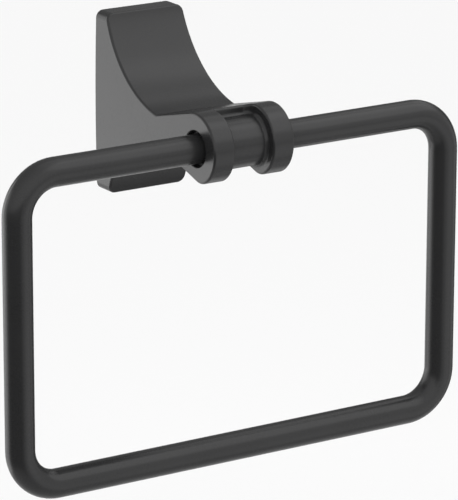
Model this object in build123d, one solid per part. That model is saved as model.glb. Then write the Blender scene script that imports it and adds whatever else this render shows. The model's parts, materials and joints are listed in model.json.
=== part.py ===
from build123d import *
import os
from math import cos, radians, sin, sqrt, tan

# A rectangular towel ring for a wall. A cast post carries a bent tube ring in two ears.
# Frame: the wall is the plane Y = 0, the object stands out towards -Y, +Z is up and X runs along the wall.
# The origin is the middle of the base, on the wall. Lengths are in millimetres, angles in degrees.

# Base of the post
BASE_HEIGHT = 76.3
BASE_CORNER_R = 3.3
BASE_TOP_DEPTH = 8.2
BASE_BOTTOM_DEPTH = 9.4
POST_WIDTH = 38.0
SIDE_CROWN_R = 1330.0
EDGE_R = 0.9

# Neck and ears, seen from the side
AXIS_REACH = 77.6
AXIS_DROP = 3.5
EAR_R = 14.55
TOP_SWEEP_R = 50.7
NECK_TOP_TAPER = 14.3
NECK_TOP_LENGTH = 26.7
VALLEY_R = 3.0
EAR_UNDERCUT = 12.7
NECK_UNDER_TAPER = 16.9
NECK_UNDER_DROP = 7.2
NECK_UNDER_LENGTH = 12.0
NECK_UNDER_BLEND_R = 25.0
EAR_UNDER_BLEND_R = 9.0

# Drum between the ears
DRUM_R = 10.25
GROOVE_WIDTH = 18.2
GROOVE_BEHIND_AXIS = 4.0
GROOVE_CORNER_R = 3.4
GROOVE_ROOT_R = 1.5
GROOVE_EDGE_R = 0.9

# Sockets in the ears, with their bushes
SOCKET_R = 7.5
SOCKET_DEPTH = 10.5
SOCKET_EDGE_R = 0.5
BUSH_LENGTH = 7.5
BUSH_SEAT_CLEARANCE = 0.03
BUSH_MOUTH_CHAMFER = 0.5
RUNNING_CLEARANCE = 0.05

# Ring of bent tube, which stands a little to one side within its end play
TUBE_R = 6.0
TUBE_WALL = 1.2
RING_WIDTH = 203.5
RING_HEIGHT = 128.6
RING_BEND_R = 16.8
RING_INSERTION = 9.0
RING_SIDE_SHIFT = 1.0

# Hollow back of the base, and the core that lightens the neck
POCKET_DEPTH = 6.0
POCKET_WIDTH = 30.0
POCKET_TOP_WALL = 4.2
POCKET_BOTTOM_WALL = 6.5
POCKET_CORNER_R = 2.0
HOOK_ANGLE = 15.0
CORE_WIDTH = 26.0
CORE_HEIGHT = 8.0
CORE_REACH = 44.0
CORE_CORNER_R = 2.5

# Wall bracket
BRACKET_THICKNESS = 5.0
BRACKET_WIDTH = 26.0
BRACKET_CORNER_R = 1.5
BRACKET_SEAT_GAP = 0.05
WALL_SCREW_SPACING = 38.0
WALL_SCREW_HOLE_R = 2.25
COUNTERSINK_R = 4.3

# Set screw in the underside of the base
SET_SCREW_R = 2.0
SET_SCREW_LENGTH = 7.0
SET_SCREW_RECESS = 0.4
SET_SCREW_FROM_WALL = 3.2
SET_SCREW_TIP_R = 1.1
SET_SCREW_TIP_LENGTH = 1.0
SET_SCREW_CLEARANCE = 0.05
SET_SCREW_SEAT_GAP = 0.03
HEX_SIDES = 6
HEX_ACROSS_FLATS = 2.0
HEX_DEPTH = 2.5

# Worked out from the sizes above
TOP = BASE_HEIGHT / 2
BOTTOM = -BASE_HEIGHT / 2
AXIS_POINT = Vector(0, -AXIS_REACH, -AXIS_DROP)
HOOK_RISE = tan(radians(HOOK_ANGLE))
OVERCUT = EAR_R
NEAR = 0.01


def round_corner(face, corner, radius):
    """Rounds the corner of a flat face that lies nearest a point."""
    return fillet(face.vertices().sort_by_distance(corner)[0], radius)


def side_profile():
    """The post seen from the side: first coordinate out from the wall as Y, second one height."""
    axis = Vector(-AXIS_REACH, -AXIS_DROP)

    # One arc runs from the top edge of the base down to the valley, where the neck rises to the ears.
    taper = radians(NECK_TOP_TAPER)
    ear_top = axis + Vector(sin(taper), cos(taper)) * EAR_R
    valley = ear_top + Vector(cos(taper), -sin(taper)) * NECK_TOP_LENGTH
    top_front = Vector(-BASE_TOP_DEPTH, TOP)

    # The underside rises from the ear to the level neck, then sweeps down to the bottom edge of the base.
    taper = radians(NECK_UNDER_TAPER)
    to_wall = Vector(cos(taper), sin(taper))
    undercut = axis + Vector(sin(taper), -cos(taper)) * EAR_UNDERCUT
    ear_bottom = undercut - to_wall * sqrt(EAR_R**2 - EAR_UNDERCUT**2)
    neck_level = -AXIS_DROP - NECK_UNDER_DROP
    neck_start = undercut + to_wall * ((neck_level - undercut.Y) / to_wall.Y)
    neck_end = neck_start + Vector(NECK_UNDER_LENGTH, 0)
    bottom_front = Vector(-BASE_BOTTOM_DEPTH, BOTTOM)

    face = make_face(
        [
            Line(Vector(0, TOP), top_front),
            RadiusArc(top_front, valley, TOP_SWEEP_R),
            Line(valley, ear_top),
            ThreePointArc(ear_top, axis - Vector(EAR_R, 0), ear_bottom),
            Line(ear_bottom, neck_start),
            Line(neck_start, neck_end),
            TangentArc(neck_end, bottom_front, tangent=(1, 0)),
            Line(bottom_front, Vector(0, BOTTOM)),
            Line(Vector(0, BOTTOM), Vector(0, TOP)),
        ]
    )
    face = round_corner(face, valley, VALLEY_R)
    face = round_corner(face, ear_bottom, EAR_UNDER_BLEND_R)
    return round_corner(face, neck_start, NECK_UNDER_BLEND_R)


def half_width(height):
    """Half the post's width at a height: the sides are gently crowned about the ring's axis."""
    return POST_WIDTH / 2 - SIDE_CROWN_R + sqrt(SIDE_CROWN_R**2 - (height + AXIS_DROP) ** 2)


def crowned_slab():
    """A slab as wide as the post, taller than its base, whose sides have the crown."""
    top = TOP + OVERCUT
    bottom = BOTTOM - OVERCUT
    right = [
        Vector(half_width(top), top),
        Vector(POST_WIDTH / 2, -AXIS_DROP),
        Vector(half_width(bottom), bottom),
    ]
    left = [Vector(-point.X, point.Y) for point in reversed(right)]
    outline = make_face(
        [
            ThreePointArc(*right),
            Line(right[-1], left[0]),
            ThreePointArc(*left),
            Line(left[-1], right[0]),
        ]
    )
    return extrude(Plane.XZ * outline, AXIS_REACH + EAR_R + OVERCUT, both=True)


def is_base_corner(edge):
    """Tells the four edges that run out from the wall at the corners of the base."""
    box = edge.bounding_box()
    runs_out = max(box.size.X, box.size.Z) < NEAR
    return runs_out and abs(abs(box.center().Z) - TOP) < NEAR


def is_front_edge(edge):
    """Tells the edges all round the front: the base's ends and the sides, but no line across the neck."""
    box = edge.bounding_box()
    off_the_wall = box.max.Y < -NEAR
    runs_across = max(box.size.Y, box.size.Z) < NEAR
    ends_the_base = abs(abs(box.center().Z) - TOP) < NEAR
    return off_the_wall and (ends_the_base or not runs_across)


def post_blank():
    """The casting's outer form, with its corners rounded and the edge all round its front eased."""
    blank = extrude(Plane.YZ * side_profile(), POST_WIDTH, both=True) & crowned_slab()
    blank = fillet(blank.edges().filter_by(is_base_corner), BASE_CORNER_R)
    return fillet(blank.edges().filter_by(is_front_edge), EDGE_R)


def across(radius, start, end):
    """A round bar along X about the ring's axis, between two places on it."""
    bar = Cylinder(radius, abs(end - start), rotation=(0, 90, 0))
    return Pos(AXIS_POINT + Vector((start + end) / 2, 0, 0)) * bar


def from_axis(point):
    """How far a point lies from the ring's axis."""
    return sqrt((point.Y - AXIS_POINT.Y) ** 2 + (point.Z - AXIS_POINT.Z) ** 2)


def groove():
    """What is cut away between the ears to leave the drum. Its floor runs back and out under the neck."""
    reach = EAR_R + OVERCUT
    front = Box(GROOVE_WIDTH, reach, 2 * reach, align=(Align.CENTER, Align.MAX, Align.CENTER))
    behind = Box(GROOVE_WIDTH, GROOVE_BEHIND_AXIS, reach, align=(Align.CENTER, Align.MIN, Align.MIN))
    behind = fillet(behind.edges().filter_by(Axis.Z).group_by(Axis.Y)[-1], GROOVE_CORNER_R)
    cut = Pos(AXIS_POINT) * (front + behind) - across(DRUM_R, -GROOVE_WIDTH, GROOVE_WIDTH)
    under = Box(GROOVE_WIDTH, 2 * reach, reach, align=(Align.CENTER, Align.CENTER, Align.MAX))
    cut += Pos(AXIS_POINT - Vector(0, 0, DRUM_R)) * under

    def is_root(edge):
        box = edge.bounding_box()
        on_drum = min(from_axis(edge.start_point()), from_axis(edge.end_point())) < DRUM_R + NEAR
        upright = max(box.size.X, box.size.Y) < NEAR
        crosses_under = box.size.X > NEAR and box.max.Z < AXIS_POINT.Z
        return on_drum and not upright and not crosses_under

    return fillet(cut.edges().filter_by(is_root), GROOVE_ROOT_R)


def pocket():
    """The hollow at the back of the base. Its top wall leans over the bracket, as a hook."""
    mouth_top = TOP - POCKET_TOP_WALL
    floor = BOTTOM + POCKET_BOTTOM_WALL
    outline = make_face(
        Polyline(
            (OVERCUT, floor),
            (OVERCUT, mouth_top - OVERCUT * HOOK_RISE),
            (-POCKET_DEPTH, mouth_top + POCKET_DEPTH * HOOK_RISE),
            (-POCKET_DEPTH, floor),
            close=True,
        )
    )
    hollow = extrude(Plane.YZ * outline, POCKET_WIDTH / 2, both=True)
    long_edges = hollow.edges().filter_by(lambda edge: edge.bounding_box().size.Y > POCKET_DEPTH)
    return fillet(long_edges, POCKET_CORNER_R)


def neck_core():
    """The blind core that runs from the hollow back into the neck."""
    length = CORE_REACH + OVERCUT
    core = Box(CORE_WIDTH, length, CORE_HEIGHT)
    core = fillet(core.edges().filter_by(Axis.Y), CORE_CORNER_R)
    return Pos(0, length / 2 - CORE_REACH, -AXIS_DROP) * core


def set_screw_hole():
    """The tapped hole through the bottom wall of the base."""
    radius = SET_SCREW_R + SET_SCREW_CLEARANCE
    through = Cylinder(radius, POCKET_BOTTOM_WALL + OVERCUT, align=(Align.CENTER, Align.CENTER, Align.MAX))
    return Pos(0, -SET_SCREW_FROM_WALL, BOTTOM + POCKET_BOTTOM_WALL) * through


def is_groove_rim(edge):
    """Tells the edges where the groove meets the outside of the ears and the neck."""
    box = edge.bounding_box()
    between_ears = max(-box.min.X, box.max.X) < GROOVE_WIDTH / 2 + NEAR
    nearest = min(from_axis(edge.start_point()), from_axis(edge.center()), from_axis(edge.end_point()))
    return between_ears and nearest > EAR_UNDERCUT - NEAR


def is_socket_mouth(edge):
    """Tells the round edges where the sockets open in the outer faces of the ears."""
    box = edge.bounding_box()
    round_the_axis = abs(box.size.Z - 2 * SOCKET_R) < NEAR and abs(box.center().Z + AXIS_DROP) < NEAR
    return round_the_axis and abs(edge.center().X) > POST_WIDTH / 2 - SOCKET_DEPTH / 2


def post():
    """The cast post: base, swept neck, two ears with blind sockets, and the drum between the ears."""
    body = post_blank() - groove()
    body = fillet(body.edges().filter_by(is_groove_rim), GROOVE_EDGE_R)
    for side in (-1, 1):
        outer_face = side * POST_WIDTH / 2
        body -= across(SOCKET_R, outer_face + side * OVERCUT, outer_face - side * SOCKET_DEPTH)
    body = fillet(body.edges().filter_by(is_socket_mouth), SOCKET_EDGE_R)
    return body - pocket() - neck_core() - set_screw_hole()


def bush(side):
    """A plastic sleeve at the bottom of one ear's socket, which carries the end of the ring."""
    seat = side * (POST_WIDTH / 2 - SOCKET_DEPTH)
    mouth = seat + side * BUSH_LENGTH
    bore_r = TUBE_R + RUNNING_CLEARANCE
    sleeve = across(SOCKET_R - BUSH_SEAT_CLEARANCE, seat, mouth)
    sleeve -= across(bore_r, seat - side * OVERCUT, mouth + side * OVERCUT)
    rims = sleeve.edges().filter_by(GeomType.CIRCLE).group_by(Axis.X)[-1 if side > 0 else 0]
    return chamfer(rims.sort_by(SortBy.RADIUS)[0], BUSH_MOUTH_CHAMFER)


def ring():
    """One bent tube, a rectangle with round corners whose ends stop inside the ears."""
    end_x = POST_WIDTH / 2 - RING_INSERTION
    half = RING_WIDTH / 2
    corners = [(end_x, 0), (half, 0), (half, -RING_HEIGHT), (-half, -RING_HEIGHT), (-half, 0), (-end_x, 0)]
    points = [AXIS_POINT + Vector(x + RING_SIDE_SHIFT, 0, z) for x, z in corners]
    path = FilletPolyline(*points, radius=RING_BEND_R)
    start = Plane(origin=points[0], z_dir=(1, 0, 0))
    return sweep(start * Circle(TUBE_R), path) - sweep(start * Circle(TUBE_R - TUBE_WALL), path)


def set_screw_tip_height():
    """The height of the set screw's tip."""
    return BOTTOM + SET_SCREW_RECESS + SET_SCREW_LENGTH


def wall_bracket():
    """The plate on the wall. Its ends lean out, so the post hooks on it and the screw draws it tight."""
    tip_front = SET_SCREW_FROM_WALL + SET_SCREW_TIP_R
    low = set_screw_tip_height() + SET_SCREW_SEAT_GAP + tip_front * HOOK_RISE
    high = TOP - POCKET_TOP_WALL - BRACKET_SEAT_GAP
    lean = BRACKET_THICKNESS * HOOK_RISE
    outline = make_face(
        Polyline(
            (0, low),
            (0, high),
            (-BRACKET_THICKNESS, high + lean),
            (-BRACKET_THICKNESS, low - lean),
            close=True,
        )
    )
    plate = extrude(Plane.YZ * outline, BRACKET_WIDTH / 2, both=True)
    ends = plate.edges().filter_by(lambda edge: edge.bounding_box().size.Y > BRACKET_THICKNESS - NEAR)
    plate = fillet(ends, BRACKET_CORNER_R)
    countersink_depth = COUNTERSINK_R - WALL_SCREW_HOLE_R
    for side in (-1, 1):
        height = side * WALL_SCREW_SPACING / 2
        hole = Cylinder(WALL_SCREW_HOLE_R, 2 * (BRACKET_THICKNESS + OVERCUT), rotation=(90, 0, 0))
        sink = Cone(COUNTERSINK_R, WALL_SCREW_HOLE_R, countersink_depth, rotation=(-90, 0, 0))
        plate -= Pos(0, 0, height) * hole
        plate -= Pos(0, countersink_depth / 2 - BRACKET_THICKNESS, height) * sink
    return plate


def set_screw():
    """A grub screw with a hexagon socket, which bears on the bracket's lower edge."""
    shank = SET_SCREW_LENGTH - SET_SCREW_TIP_LENGTH
    low_end = Align.CENTER, Align.CENTER, Align.MIN
    body = Cylinder(SET_SCREW_R, shank, align=low_end)
    body += Pos(0, 0, shank) * Cone(SET_SCREW_R, SET_SCREW_TIP_R, SET_SCREW_TIP_LENGTH, align=low_end)
    socket = extrude(RegularPolygon(HEX_ACROSS_FLATS / 2, HEX_SIDES, major_radius=False), HEX_DEPTH)
    return Pos(0, -SET_SCREW_FROM_WALL, BOTTOM + SET_SCREW_RECESS) * (body - socket)


def main():
    """Builds every piece and writes one file for each."""
    pieces = {
        "post": post(),
        "wall_bracket": wall_bracket(),
        "set_screw": set_screw(),
        "left_bush": bush(-1),
        "right_bush": bush(1),
        "ring": ring(),
    }
    os.makedirs("parts", exist_ok=True)
    for name, piece in pieces.items():
        export_step(piece, f"parts/{name}.step")


if __name__ == "__main__":
    main()
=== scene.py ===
"""Satin black towel ring: finishes, threaded set screw, studio and camera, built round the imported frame."""

import json
import logging
import math
from dataclasses import dataclass, field
from enum import Enum
from typing import Any, Union

import bmesh
import bpy
from mathutils import Matrix, Vector

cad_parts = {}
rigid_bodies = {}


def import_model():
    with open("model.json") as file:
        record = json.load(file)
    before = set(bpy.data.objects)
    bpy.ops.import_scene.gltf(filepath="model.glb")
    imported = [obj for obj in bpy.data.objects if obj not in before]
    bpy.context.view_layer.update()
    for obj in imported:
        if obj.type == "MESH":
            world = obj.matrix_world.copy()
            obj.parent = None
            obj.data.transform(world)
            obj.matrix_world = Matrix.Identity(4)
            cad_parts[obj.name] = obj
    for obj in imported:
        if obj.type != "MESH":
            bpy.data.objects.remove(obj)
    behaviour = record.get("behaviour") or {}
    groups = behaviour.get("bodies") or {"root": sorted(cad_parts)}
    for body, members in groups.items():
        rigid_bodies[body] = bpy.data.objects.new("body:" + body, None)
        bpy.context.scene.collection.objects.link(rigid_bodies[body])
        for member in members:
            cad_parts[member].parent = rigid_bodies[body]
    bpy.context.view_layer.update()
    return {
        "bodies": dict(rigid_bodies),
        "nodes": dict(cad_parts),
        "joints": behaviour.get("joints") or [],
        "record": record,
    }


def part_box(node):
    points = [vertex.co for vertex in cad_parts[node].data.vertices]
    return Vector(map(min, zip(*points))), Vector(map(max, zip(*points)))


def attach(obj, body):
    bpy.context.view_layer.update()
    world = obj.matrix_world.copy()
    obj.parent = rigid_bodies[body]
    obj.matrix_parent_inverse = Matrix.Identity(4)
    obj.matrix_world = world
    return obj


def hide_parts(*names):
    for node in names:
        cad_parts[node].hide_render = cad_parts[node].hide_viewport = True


LOG = logging.getLogger("towel_ring")
MM = 0.001
FULL_TURN = math.tau
STRAIGHT_ANGLE = 180.0
NOISE_MIDDLE = 0.5
EVEN_SHARE = 0.5

Colour = tuple[float, float, float]
Point = tuple[float, float, float]


class Slot(Enum):
    """The record's material slots."""

    SATIN_BLACK = "satin_black"
    ZINC_PLATE = "zinc_plate"
    DARK_STEEL = "dark_steel"
    BLACK_NYLON = "black_nylon"


class Signal:
    """A shader socket that takes part in plain arithmetic: each operator adds its Math node."""

    def __init__(self, board: "NodeBoard", socket: bpy.types.NodeSocket) -> None:
        """Keep the socket and the board that its nodes go on."""
        self.board = board
        self.socket = socket

    def _math(self, operation: str, first: "Number", second: "Number") -> "Signal":
        """Add one Math node.

        Args:
            operation: The node's operation.
            first: The upper value.
            second: The lower value.

        Returns:
            The node's result.
        """
        inputs = {"Value": first, "Value_001": second}
        return self.board.add("ShaderNodeMath", {"operation": operation}, inputs)["Value"]

    def __add__(self, other: "Number") -> "Signal":
        """This value plus another."""
        return self._math("ADD", self, other)

    def __radd__(self, other: "Number") -> "Signal":
        """Another value plus this one."""
        return self._math("ADD", other, self)

    def __sub__(self, other: "Number") -> "Signal":
        """This value less another."""
        return self._math("SUBTRACT", self, other)

    def __rsub__(self, other: "Number") -> "Signal":
        """Another value less this one."""
        return self._math("SUBTRACT", other, self)

    def __mul__(self, other: "Number") -> "Signal":
        """This value times another."""
        return self._math("MULTIPLY", self, other)

    def __rmul__(self, other: "Number") -> "Signal":
        """Another value times this one."""
        return self._math("MULTIPLY", other, self)

    def swing(self, middle: "Number", width: float) -> "Signal":
        """Turn noise from zero to one into a value that swings about a middle.

        Args:
            middle: What the noise's mean level gives.
            width: The distance between what zero and what one gives.

        Returns:
            The swinging value.
        """
        return (self - NOISE_MIDDLE) * width + middle


Number = Union[Signal, float]


class NodeBoard:
    """The node tree of a finish, of a stage piece or of the world, filled through one method."""

    def __init__(self, tree: bpy.types.NodeTree) -> None:
        """Take over a node tree and empty it."""
        tree.nodes.clear()
        self.tree = tree

    def add(self, kind: str, settings: dict[str, Any] | None = None,
            inputs: dict[str, Any] | None = None) -> dict[str, Signal]:
        """Add a node, with its settings first and then its sockets.

        Args:
            kind: The node's type.
            settings: Properties of the node.
            inputs: Values or links by socket identifier.

        Returns:
            The node's outputs by identifier.
        """
        node = self.tree.nodes.new(kind)
        for name, value in (settings or {}).items():
            setattr(node, name, value)
        sockets = {socket.identifier: socket for socket in node.inputs}
        for name, value in (inputs or {}).items():
            if isinstance(value, Signal):
                self.tree.links.new(value.socket, sockets[name])
            else:
                sockets[name].default_value = value
        return {socket.identifier: Signal(self, socket) for socket in node.outputs}

    def blend(self, factor: Signal, low: Colour, high: Colour) -> Signal:
        """Mix two colours.

        Args:
            factor: Zero for the first colour, one for the second.
            low: The first colour.
            high: The second colour.

        Returns:
            The mixed colour.
        """
        inputs = {"Factor_Float": factor, "A_Color": (*low, 1.0), "B_Color": (*high, 1.0)}
        return self.add("ShaderNodeMix", {"data_type": "RGBA"}, inputs)["Result_Color"]

    def grain(self, size: float, stretch: Point = (1.0, 1.0, 1.0), detail: float = 2.0) -> Signal:
        """Noise on the object's own coordinates.

        Args:
            size: The size of one cell, in metres.
            stretch: How much the pattern is drawn out along each axis.
            detail: Number of finer layers.

        Returns:
            The noise, from zero to one.
        """
        place = self.add("ShaderNodeTexCoord")["Object"]
        scale = tuple(1.0 / (size * factor) for factor in stretch)
        drawn = self.add("ShaderNodeMapping", None, {"Vector": place, "Scale": scale})["Vector"]
        return self.add("ShaderNodeTexNoise", None, {"Vector": drawn, "Scale": 1.0, "Detail": detail})["Fac"]

    def relief(self, height: Signal, depth: float) -> Signal:
        """A bumped normal.

        Args:
            height: The height pattern, from zero to one.
            depth: The height of a full step, in metres.

        Returns:
            The normal.
        """
        inputs = {"Strength": 1.0, "Distance": depth, "Height": height}
        return self.add("ShaderNodeBump", None, inputs)["Normal"]

    def matt(self, colour: Union[Signal, tuple[float, ...]]) -> None:
        """Finish the board as plain matt paint.

        Args:
            colour: The paint's colour, as four numbers or as a signal.
        """
        inputs = {"Base Color": colour, "Roughness": 1.0, "Specular IOR Level": 0.0}
        paint = self.add("ShaderNodeBsdfPrincipled", None, inputs)["BSDF"]
        self.add("ShaderNodeOutputMaterial", None, {"Surface": paint})


class Finish:
    """What every finish shares: one material, made once and given to any number of pieces."""

    slot: Slot

    def draw(self, board: NodeBoard) -> Signal:
        """Lay out the finish's nodes and return its shader."""
        raise NotImplementedError

    def material(self) -> bpy.types.Material:
        """The finish's material.

        Returns:
            The material, made on first use.
        """
        kept = bpy.data.materials.get(type(self).__name__)
        if kept:
            return kept
        made = bpy.data.materials.new(type(self).__name__)
        made.use_nodes = True
        board = NodeBoard(made.node_tree)
        board.add("ShaderNodeOutputMaterial", None, {"Surface": self.draw(board)})
        return made

    def dress(self, piece: bpy.types.Object) -> None:
        """Give a piece this finish and report it.

        Args:
            piece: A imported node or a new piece.
        """
        if not piece.data.materials:
            piece.data.materials.append(None)
        for place in range(len(piece.material_slots)):
            piece.material_slots[place].link = "OBJECT"
            piece.material_slots[place].material = self.material()
        LOG.info("%s: %s", piece.name, self.slot.value)


@dataclass(frozen=True)
class SatinBlack(Finish):
    """Satin black coat on the cast post and the bent tube, with a slight orange peel."""

    slot: Slot = Slot.SATIN_BLACK
    thin_coat: Colour = (0.0166, 0.0166, 0.0170)
    full_coat: Colour = (0.0126, 0.0126, 0.0129)
    cloud_size: float = 18.0 * MM
    cloud_detail: float = 3.0
    roughness: float = 0.27
    roughness_swing: float = 0.06
    peel_size: float = 1.1 * MM
    peel_depth: float = 0.0022 * MM
    fleck_size: float = 0.22 * MM
    fleck_detail: float = 1.0
    fleck_share: float = 0.35
    gloss: float = 0.25

    def draw(self, board: NodeBoard) -> Signal:
        """Lay out the coat's nodes.

        Args:
            board: The material's node board.

        Returns:
            The coat's shader.
        """
        cloud = board.grain(self.cloud_size, detail=self.cloud_detail)
        peel = board.grain(self.peel_size)
        fleck = board.grain(self.fleck_size, detail=self.fleck_detail)
        mottle = (cloud + fleck) * EVEN_SHARE
        inputs = {
            "Base Color": board.blend(cloud, self.thin_coat, self.full_coat),
            "Roughness": mottle.swing(self.roughness, self.roughness_swing),
            "Specular IOR Level": self.gloss,
            "Normal": board.relief(peel + fleck * self.fleck_share, self.peel_depth),
        }
        return board.add("ShaderNodeBsdfPrincipled", None, inputs)["BSDF"]


@dataclass(frozen=True)
class ZincPlate(Finish):
    """Dull zinc plating on the stamped wall bracket, with rolling lines and a faint passivation tint."""

    slot: Slot = Slot.ZINC_PLATE
    bluish: Colour = (0.42, 0.445, 0.48)
    yellowish: Colour = (0.55, 0.525, 0.45)
    tint_size: float = 9.0 * MM
    tint_detail: float = 4.0
    streak_size: float = 0.9 * MM
    streak_share: float = 0.6
    line_size: float = 0.12 * MM
    line_stretch: Point = (1.0, 1.0, 60.0)
    line_depth: float = 0.002 * MM
    roughness: float = 0.48
    roughness_swing: float = 0.20

    def draw(self, board: NodeBoard) -> Signal:
        """Lay out the plating's nodes.

        Args:
            board: The material's node board.

        Returns:
            The plating's shader.
        """
        tint = board.grain(self.tint_size, detail=self.tint_detail)
        streaks = board.grain(self.streak_size, self.line_stretch)
        lines = board.grain(self.line_size, self.line_stretch)
        rolled = (lines + streaks) * EVEN_SHARE
        inputs = {
            "Base Color": board.blend(streaks.swing(tint, self.streak_share), self.bluish, self.yellowish),
            "Metallic": 1.0,
            "Roughness": rolled.swing(self.roughness, self.roughness_swing),
            "Normal": board.relief(lines, self.line_depth),
        }
        return board.add("ShaderNodeBsdfPrincipled", None, inputs)["BSDF"]


@dataclass(frozen=True)
class DarkSteel(Finish):
    """Blackened steel of the set screw, a little rubbed and oily."""

    slot: Slot = Slot.DARK_STEEL
    oxide: Colour = (0.045, 0.046, 0.050)
    rubbed: Colour = (0.13, 0.13, 0.135)
    patch_size: float = 0.8 * MM
    patch_detail: float = 4.0
    roughness: float = 0.38
    roughness_swing: float = 0.16
    pit_size: float = 0.08 * MM
    pit_depth: float = 0.002 * MM

    def draw(self, board: NodeBoard) -> Signal:
        """Lay out the steel's nodes.

        Args:
            board: The material's node board.

        Returns:
            The steel's shader.
        """
        patch = board.grain(self.patch_size, detail=self.patch_detail)
        pits = board.grain(self.pit_size)
        inputs = {
            "Base Color": board.blend(patch, self.oxide, self.rubbed),
            "Metallic": 1.0,
            "Roughness": patch.swing(self.roughness, self.roughness_swing),
            "Normal": board.relief(pits, self.pit_depth),
        }
        return board.add("ShaderNodeBsdfPrincipled", None, inputs)["BSDF"]


@dataclass(frozen=True)
class BlackNylon(Finish):
    """Moulded black nylon of the two bushes, with a spark-eroded grain."""

    slot: Slot = Slot.BLACK_NYLON
    deep: Colour = (0.012, 0.012, 0.012)
    pale: Colour = (0.024, 0.024, 0.025)
    cloud_size: float = 3.0 * MM
    cloud_detail: float = 3.0
    grain_size: float = 0.15 * MM
    grain_depth: float = 0.006 * MM
    roughness: float = 0.55
    roughness_swing: float = 0.12

    def draw(self, board: NodeBoard) -> Signal:
        """Lay out the nylon's nodes.

        Args:
            board: The material's node board.

        Returns:
            The nylon's shader.
        """
        cloud = board.grain(self.cloud_size, detail=self.cloud_detail)
        grain = board.grain(self.grain_size)
        inputs = {
            "Base Color": board.blend(cloud, self.deep, self.pale),
            "Roughness": grain.swing(self.roughness, self.roughness_swing),
            "Normal": board.relief(grain, self.grain_depth),
        }
        return board.add("ShaderNodeBsdfPrincipled", None, inputs)["BSDF"]


@dataclass
class PackedPieces:
    """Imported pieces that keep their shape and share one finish."""

    nodes: tuple[str, ...]
    finish: Finish

    def dress(self, frame: dict[str, Any]) -> None:
        """Give each piece its finish.

        Args:
            frame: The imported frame.
        """
        for name in self.nodes:
            self.finish.dress(frame["nodes"][name])


@dataclass
class CoatedPieces(PackedPieces):
    """The cast post and the swinging ring, both in the satin black coat."""

    nodes: tuple[str, ...] = ("post", "ring")
    finish: Finish = SatinBlack()


@dataclass
class Pivots(PackedPieces):
    """The two nylon bushes that the tube's ends turn in."""

    nodes: tuple[str, ...] = ("left_bush", "right_bush")
    finish: Finish = BlackNylon()


def piece_of(name: str, shape: bmesh.types.BMesh) -> bpy.types.Object:
    """Turn a finished bmesh into a piece of the scene.

    Args:
        name: The piece's name.
        shape: Its mesh, which is used up.

    Returns:
        The piece, at the origin.
    """
    mesh = bpy.data.meshes.new(name)
    shape.to_mesh(mesh)
    shape.free()
    piece = bpy.data.objects.new(name, mesh)
    bpy.context.scene.collection.objects.link(piece)
    return piece


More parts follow.
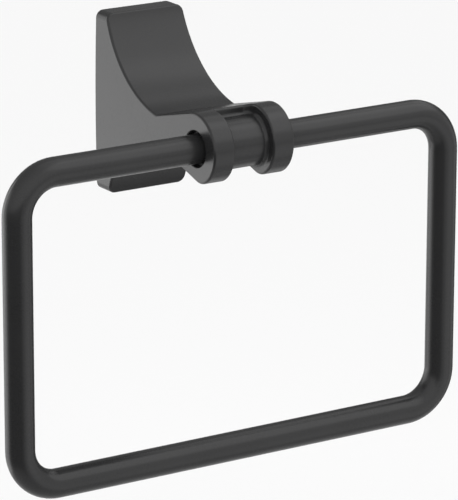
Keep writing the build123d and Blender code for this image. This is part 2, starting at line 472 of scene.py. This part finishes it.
@dataclass
class SetScrew:
    """The threaded set screw with its hexagon socket, which stands for the plain solid of the frame."""

    node: str = "set_screw"
    name: str = "threaded_set_screw"
    body: str = "post_body"
    finish: Finish = DarkSteel()
    pitch: float = 0.70 * MM
    thread_depth: float = 0.40 * MM
    crest_width: float = 0.10 * MM
    root_overlap: float = 0.06 * MM
    end_chamfer: float = 0.35 * MM
    tip_radius: float = 1.10 * MM
    tip_length: float = 1.00 * MM
    socket_sides: int = 6
    socket_flats: float = 2.00 * MM
    socket_depth: float = 2.50 * MM
    socket_lead: float = 0.12 * MM
    rounds: int = 48

    def build(self) -> None:
        """Model the screw where its solid is, and dress it."""
        low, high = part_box(self.node)
        length = high.z - low.z
        radius = (high.x - low.x) / 2.0
        shape = bmesh.new()
        self._core(shape, radius - self.thread_depth, length)
        self._thread(shape, radius, length)
        bmesh.ops.recalc_face_normals(shape, faces=shape.faces)
        middle = (low + high) / 2.0
        bmesh.ops.translate(shape, verts=shape.verts, vec=(middle.x, middle.y, low.z))
        piece = piece_of(self.name, shape)
        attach(piece, self.body)
        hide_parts(self.node)
        self.finish.dress(piece)

    def _core(self, shape: bmesh.types.BMesh, radius: float, length: float) -> None:
        """Model the shank with its pointed end and its socket.

        Args:
            shape: The mesh that the shank goes into.
            radius: The radius at the thread's root.
            length: The screw's whole length.
        """
        ring = bmesh.ops.create_circle(shape, segments=self.rounds, radius=radius - self.end_chamfer)
        mouth = self._edges(ring["verts"])
        outline = self._step(shape, mouth, radius / (radius - self.end_chamfer), self.end_chamfer)
        outline = self._step(shape, outline, 1.0, length - self.end_chamfer - self.tip_length)
        outline = self._step(shape, outline, self.tip_radius / radius, self.tip_length)
        bmesh.ops.contextual_create(shape, geom=outline)
        corner = self.socket_flats / 2.0 / math.cos(math.pi / self.socket_sides)
        wide = corner + self.socket_lead
        hexagon = bmesh.ops.create_circle(shape, segments=self.socket_sides, radius=wide)
        rim = self._edges(hexagon["verts"])
        bmesh.ops.bridge_loops(shape, edges=mouth + rim)
        rim = self._step(shape, rim, corner / wide, self.socket_lead)
        rim = self._step(shape, rim, 1.0, self.socket_depth - self.socket_lead)
        bmesh.ops.contextual_create(shape, geom=rim)

    def _thread(self, shape: bmesh.types.BMesh, radius: float, length: float) -> None:
        """Wind the thread's ridge round the shank, cut off square at the chamfer and at the point.

        Args:
            shape: The mesh that the ridge goes into.
            radius: The radius at the thread's crest.
            length: The screw's whole length.
        """
        ridge = bmesh.new()
        foot = radius - self.thread_depth - self.root_overlap
        corners = [
            (foot, 0.0, -self.pitch / 2.0),
            (radius, 0.0, -self.crest_width / 2.0),
            (radius, 0.0, self.crest_width / 2.0),
            (foot, 0.0, self.pitch / 2.0),
        ]
        section = ridge.faces.new([ridge.verts.new(corner) for corner in corners])
        turns = math.ceil(length / self.pitch)
        bmesh.ops.spin(
            ridge,
            geom=[section, *section.edges, *section.verts],
            cent=(0.0, 0.0, 0.0),
            axis=(0.0, 0.0, 1.0),
            dvec=(0.0, 0.0, self.pitch / self.rounds),
            angle=turns * FULL_TURN,
            steps=turns * self.rounds,
        )
        for height, outward in ((self.end_chamfer / 2.0, -1.0), (length - self.tip_length, 1.0)):
            whole = [*ridge.verts, *ridge.edges, *ridge.faces]
            cut = bmesh.ops.bisect_plane(
                ridge, geom=whole, plane_co=(0.0, 0.0, height), plane_no=(0.0, 0.0, outward), clear_outer=True
            )
            rim = [part for part in cut["geom_cut"] if isinstance(part, bmesh.types.BMEdge)]
            bmesh.ops.contextual_create(ridge, geom=rim)
        kept = bpy.data.meshes.new("thread_ridge")
        ridge.to_mesh(kept)
        ridge.free()
        shape.from_mesh(kept)
        bpy.data.meshes.remove(kept)

    @staticmethod
    def _edges(verts: list[bmesh.types.BMVert]) -> list[bmesh.types.BMEdge]:
        """The edges of a fresh circle, each once."""
        return list(dict.fromkeys(edge for vert in verts for edge in vert.link_edges))

    @staticmethod
    def _step(shape: bmesh.types.BMesh, outline: list[bmesh.types.BMEdge], growth: float,
              rise: float) -> list[bmesh.types.BMEdge]:
        """Extrude an outline upwards and widen or narrow it.

        Args:
            shape: The mesh that the outline is in.
            outline: The edges to extrude.
            growth: The new radius as a share of the old one.
            rise: How far up the new outline lies.

        Returns:
            The edges of the new outline.
        """
        made = bmesh.ops.extrude_edge_only(shape, edges=outline)["geom"]
        verts = [part for part in made if isinstance(part, bmesh.types.BMVert)]
        bmesh.ops.scale(shape, verts=verts, vec=(growth, growth, 1.0))
        bmesh.ops.translate(shape, verts=verts, vec=(0.0, 0.0, rise))
        fresh = set(verts)
        edges = [part for part in made if isinstance(part, bmesh.types.BMEdge)]
        return [edge for edge in edges if edge.verts[0] in fresh and edge.verts[1] in fresh]


@dataclass
class WallFixing(PackedPieces):
    """The stamped wall bracket, and the set screw that locks the post on it."""

    nodes: tuple[str, ...] = ("wall_bracket",)
    finish: Finish = ZincPlate()
    screw: SetScrew = field(default_factory=SetScrew)

    def dress(self, frame: dict[str, Any]) -> None:
        """Give the bracket its plating and put in the screw.

        Args:
            frame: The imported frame.
        """
        super().dress(frame)
        self.screw.build()


def stage_piece(name: str, shape: bmesh.types.BMesh) -> tuple[bpy.types.Object, NodeBoard]:
    """Make a piece of the studio.

    Args:
        name: The piece's name.
        shape: Its mesh, which is used up.

    Returns:
        The piece and the empty board of its material.
    """
    piece = piece_of(name, shape)
    paint = bpy.data.materials.new(name)
    paint.use_nodes = True
    piece.data.materials.append(paint)
    LOG.info("stage: %s", name)
    return piece, NodeBoard(paint.node_tree)


def direction(azimuth: float, elevation: float) -> Vector:
    """The way from the object to a place in the studio.

    Args:
        azimuth: Degrees from +Y towards +X.
        elevation: Degrees above the horizon.

    Returns:
        A vector of length one.
    """
    turn = math.radians(azimuth)
    rise = math.radians(elevation)
    return Vector((math.sin(turn) * math.cos(rise), math.cos(turn) * math.cos(rise), math.sin(rise)))


@dataclass(frozen=True)
class SoftLamp:
    """A large soft lamp that faces the object: its direction from there, its size and its brightness."""

    name: str
    azimuth: float
    elevation: float
    distance: float
    width: float
    height: float
    brightness: float

    def build(self, target: Vector) -> None:
        """Hang the lamp where the camera doesn't see it.

        Args:
            target: The point that the lamp faces.
        """
        away = direction(self.azimuth, self.elevation)
        data = bpy.data.lights.new(self.name, "AREA")
        data.shape = "RECTANGLE"
        data.size = self.width
        data.size_y = self.height
        data.energy = self.brightness * math.pi * self.width * self.height
        lamp = bpy.data.objects.new(self.name, data)
        facing = away.to_track_quat("Z", "Y").to_matrix().to_4x4()
        lamp.matrix_world = Matrix.Translation(target + away * self.distance) @ facing
        lamp.visible_camera = False
        bpy.context.scene.collection.objects.link(lamp)
        LOG.info("lamp: %s", self.name)


@dataclass(frozen=True)
class DarkCard:
    """An upright dark card, bent round the object, which keeps the pale room out of its reflections."""

    name: str
    first_azimuth: float
    last_azimuth: float
    low_elevation: float
    high_elevation: float
    radius: float = 0.8
    steps: int = 24
    colour: Colour = (0.11, 0.11, 0.11)

    def build(self, target: Vector) -> None:
        """Stand the card where it shows in reflections alone.

        Args:
            target: The point that the card bends round.
        """
        shape = bmesh.new()
        foot = target + direction(self.first_azimuth, 0.0) * self.radius
        angles = (self.low_elevation, self.high_elevation)
        rises = [math.tan(math.radians(angle)) * self.radius for angle in angles]
        edge = shape.edges.new([shape.verts.new(foot + Vector((0.0, 0.0, rise))) for rise in rises])
        bmesh.ops.spin(
            shape,
            geom=[edge, *edge.verts],
            cent=target,
            axis=(0.0, 0.0, -1.0),
            angle=math.radians(self.last_azimuth - self.first_azimuth),
            steps=self.steps,
        )
        card, board = stage_piece(self.name, shape)
        board.matt((*self.colour, 1.0))
        card.visible_camera = False
        card.visible_diffuse = False
        card.visible_shadow = False


@dataclass
class Studio:
    """Pale floor, a surround that is brighter on one side, soft lamps and dark cards."""

    target: Point = (0.0, -0.06, -0.05)
    floor_height: float = -1.0
    floor_radius: float = 30.0
    floor_rounds: int = 96
    # Painted shade: the floor's colour near the object is darkened to even out the lamps' pool of light
    # there.
    shaded_near_colour: Colour = (0.68, 0.68, 0.68)
    far_colour: Colour = (0.90, 0.90, 0.90)
    near_distance: float = 1.0
    far_distance: float = 2.7
    surround_level: float = 1.04
    surround_tilt: Point = (-0.30, -0.74, 0.0)
    lamps: tuple[SoftLamp, ...] = (
        SoftLamp("rear_lamp", -35.0, 3.0, 1.2, 1.0, 0.9, 1.87),
        SoftLamp("low_rear_lamp", -43.0, -29.0, 1.0, 0.6, 0.5, 1.55),
        SoftLamp("front_right_lamp", 125.0, 47.0, 1.3, 1.4, 1.0, 1.31),
        SoftLamp("right_lamp", 70.0, 40.0, 1.3, 0.8, 0.6, 0.76),
        SoftLamp("overhead_lamp", 80.0, 75.0, 1.2, 0.9, 0.9, 0.53),
        SoftLamp("low_front_lamp", 145.0, -24.0, 1.0, 0.7, 0.6, 0.63),
    )
    cards: tuple[DarkCard, ...] = (
        DarkCard("left_card", -172.0, -74.0, -40.0, 4.0),
        DarkCard("right_card", 36.0, 86.0, -36.0, 20.0),
    )

    def build(self) -> None:
        """Set up the floor, the surround, the lamps and the cards."""
        self.lay_floor()
        self.set_surround()
        for thing in (*self.lamps, *self.cards):
            thing.build(Vector(self.target))

    def lay_floor(self) -> None:
        """Lay the floor under the object, with painted shade darkening its colour where the lamps are
        nearest, to even out their pool of light.
        """
        shape = bmesh.new()
        bmesh.ops.create_circle(shape, cap_ends=True, segments=self.floor_rounds, radius=self.floor_radius)
        bmesh.ops.translate(shape, verts=shape.verts, vec=(0.0, 0.0, self.floor_height))
        board = stage_piece("floor", shape)[1]
        place = board.add("ShaderNodeTexCoord")["Object"]
        away = board.add("ShaderNodeVectorMath", {"operation": "LENGTH"}, {"Vector": place})["Value"]
        inputs = {"Value": away, "From Min": self.near_distance, "From Max": self.far_distance}
        # Painted shade: blend from the darkened near colour to the plain far colour by distance from the
        # object.
        share = board.add("ShaderNodeMapRange", {"interpolation_type": "SMOOTHSTEP"}, inputs)["Result"]
        board.matt(board.blend(share, self.shaded_near_colour, self.far_colour))

    def set_surround(self) -> None:
        """Light the room from all round, with a gentle slope from its dim side to its bright side."""
        world = bpy.data.worlds.new("studio")
        world.use_nodes = True
        bpy.context.scene.world = world
        board = NodeBoard(world.node_tree)
        way = board.add("ShaderNodeTexCoord")["Generated"]
        inputs = {"Vector": way, "Vector_001": self.surround_tilt}
        slope = board.add("ShaderNodeVectorMath", {"operation": "DOT_PRODUCT"}, inputs)["Value"]
        inputs = {"Color": slope + self.surround_level, "Strength": 1.0}
        glow = board.add("ShaderNodeBackground", None, inputs)["Background"]
        board.add("ShaderNodeOutputWorld", None, {"Surface": glow})


@dataclass
class ViewCamera:
    """The camera at the photograph's viewing angle."""

    eye: Point = (-0.78763, -1.30004, 0.37990)
    azimuth: float = -32.70
    elevation: float = 16.41
    roll: float = -0.145
    lens: float = 269.96
    sensor: float = 36.0
    clip_end: float = 150.0

    def build(self) -> None:
        """Make the camera and set it as the scene's own."""
        back = direction(STRAIGHT_ANGLE - self.azimuth, self.elevation)
        right = Vector((0.0, 0.0, 1.0)).cross(back).normalized()
        axes = Matrix((right, back.cross(right), back)).transposed()
        data = bpy.data.cameras.new("camera")
        data.lens = self.lens
        data.sensor_width = self.sensor
        data.clip_end = self.clip_end
        camera = bpy.data.objects.new("camera", data)
        twist = Matrix.Rotation(-math.radians(self.roll), 4, "Z")
        camera.matrix_world = Matrix.Translation(self.eye) @ axes.to_4x4() @ twist
        bpy.context.scene.collection.objects.link(camera)
        bpy.context.scene.camera = camera


def main() -> None:
    """Load the frame, build and dress every piece, and set up the studio and the camera."""
    logging.basicConfig(level=logging.INFO, format="%(name)s: %(message)s")
    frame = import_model()
    bpy.context.scene.view_settings.view_transform = "Standard"
    CoatedPieces().dress(frame)
    Pivots().dress(frame)
    WallFixing().dress(frame)
    Studio().build()
    ViewCamera().build()


if __name__ == "__main__":
    main()
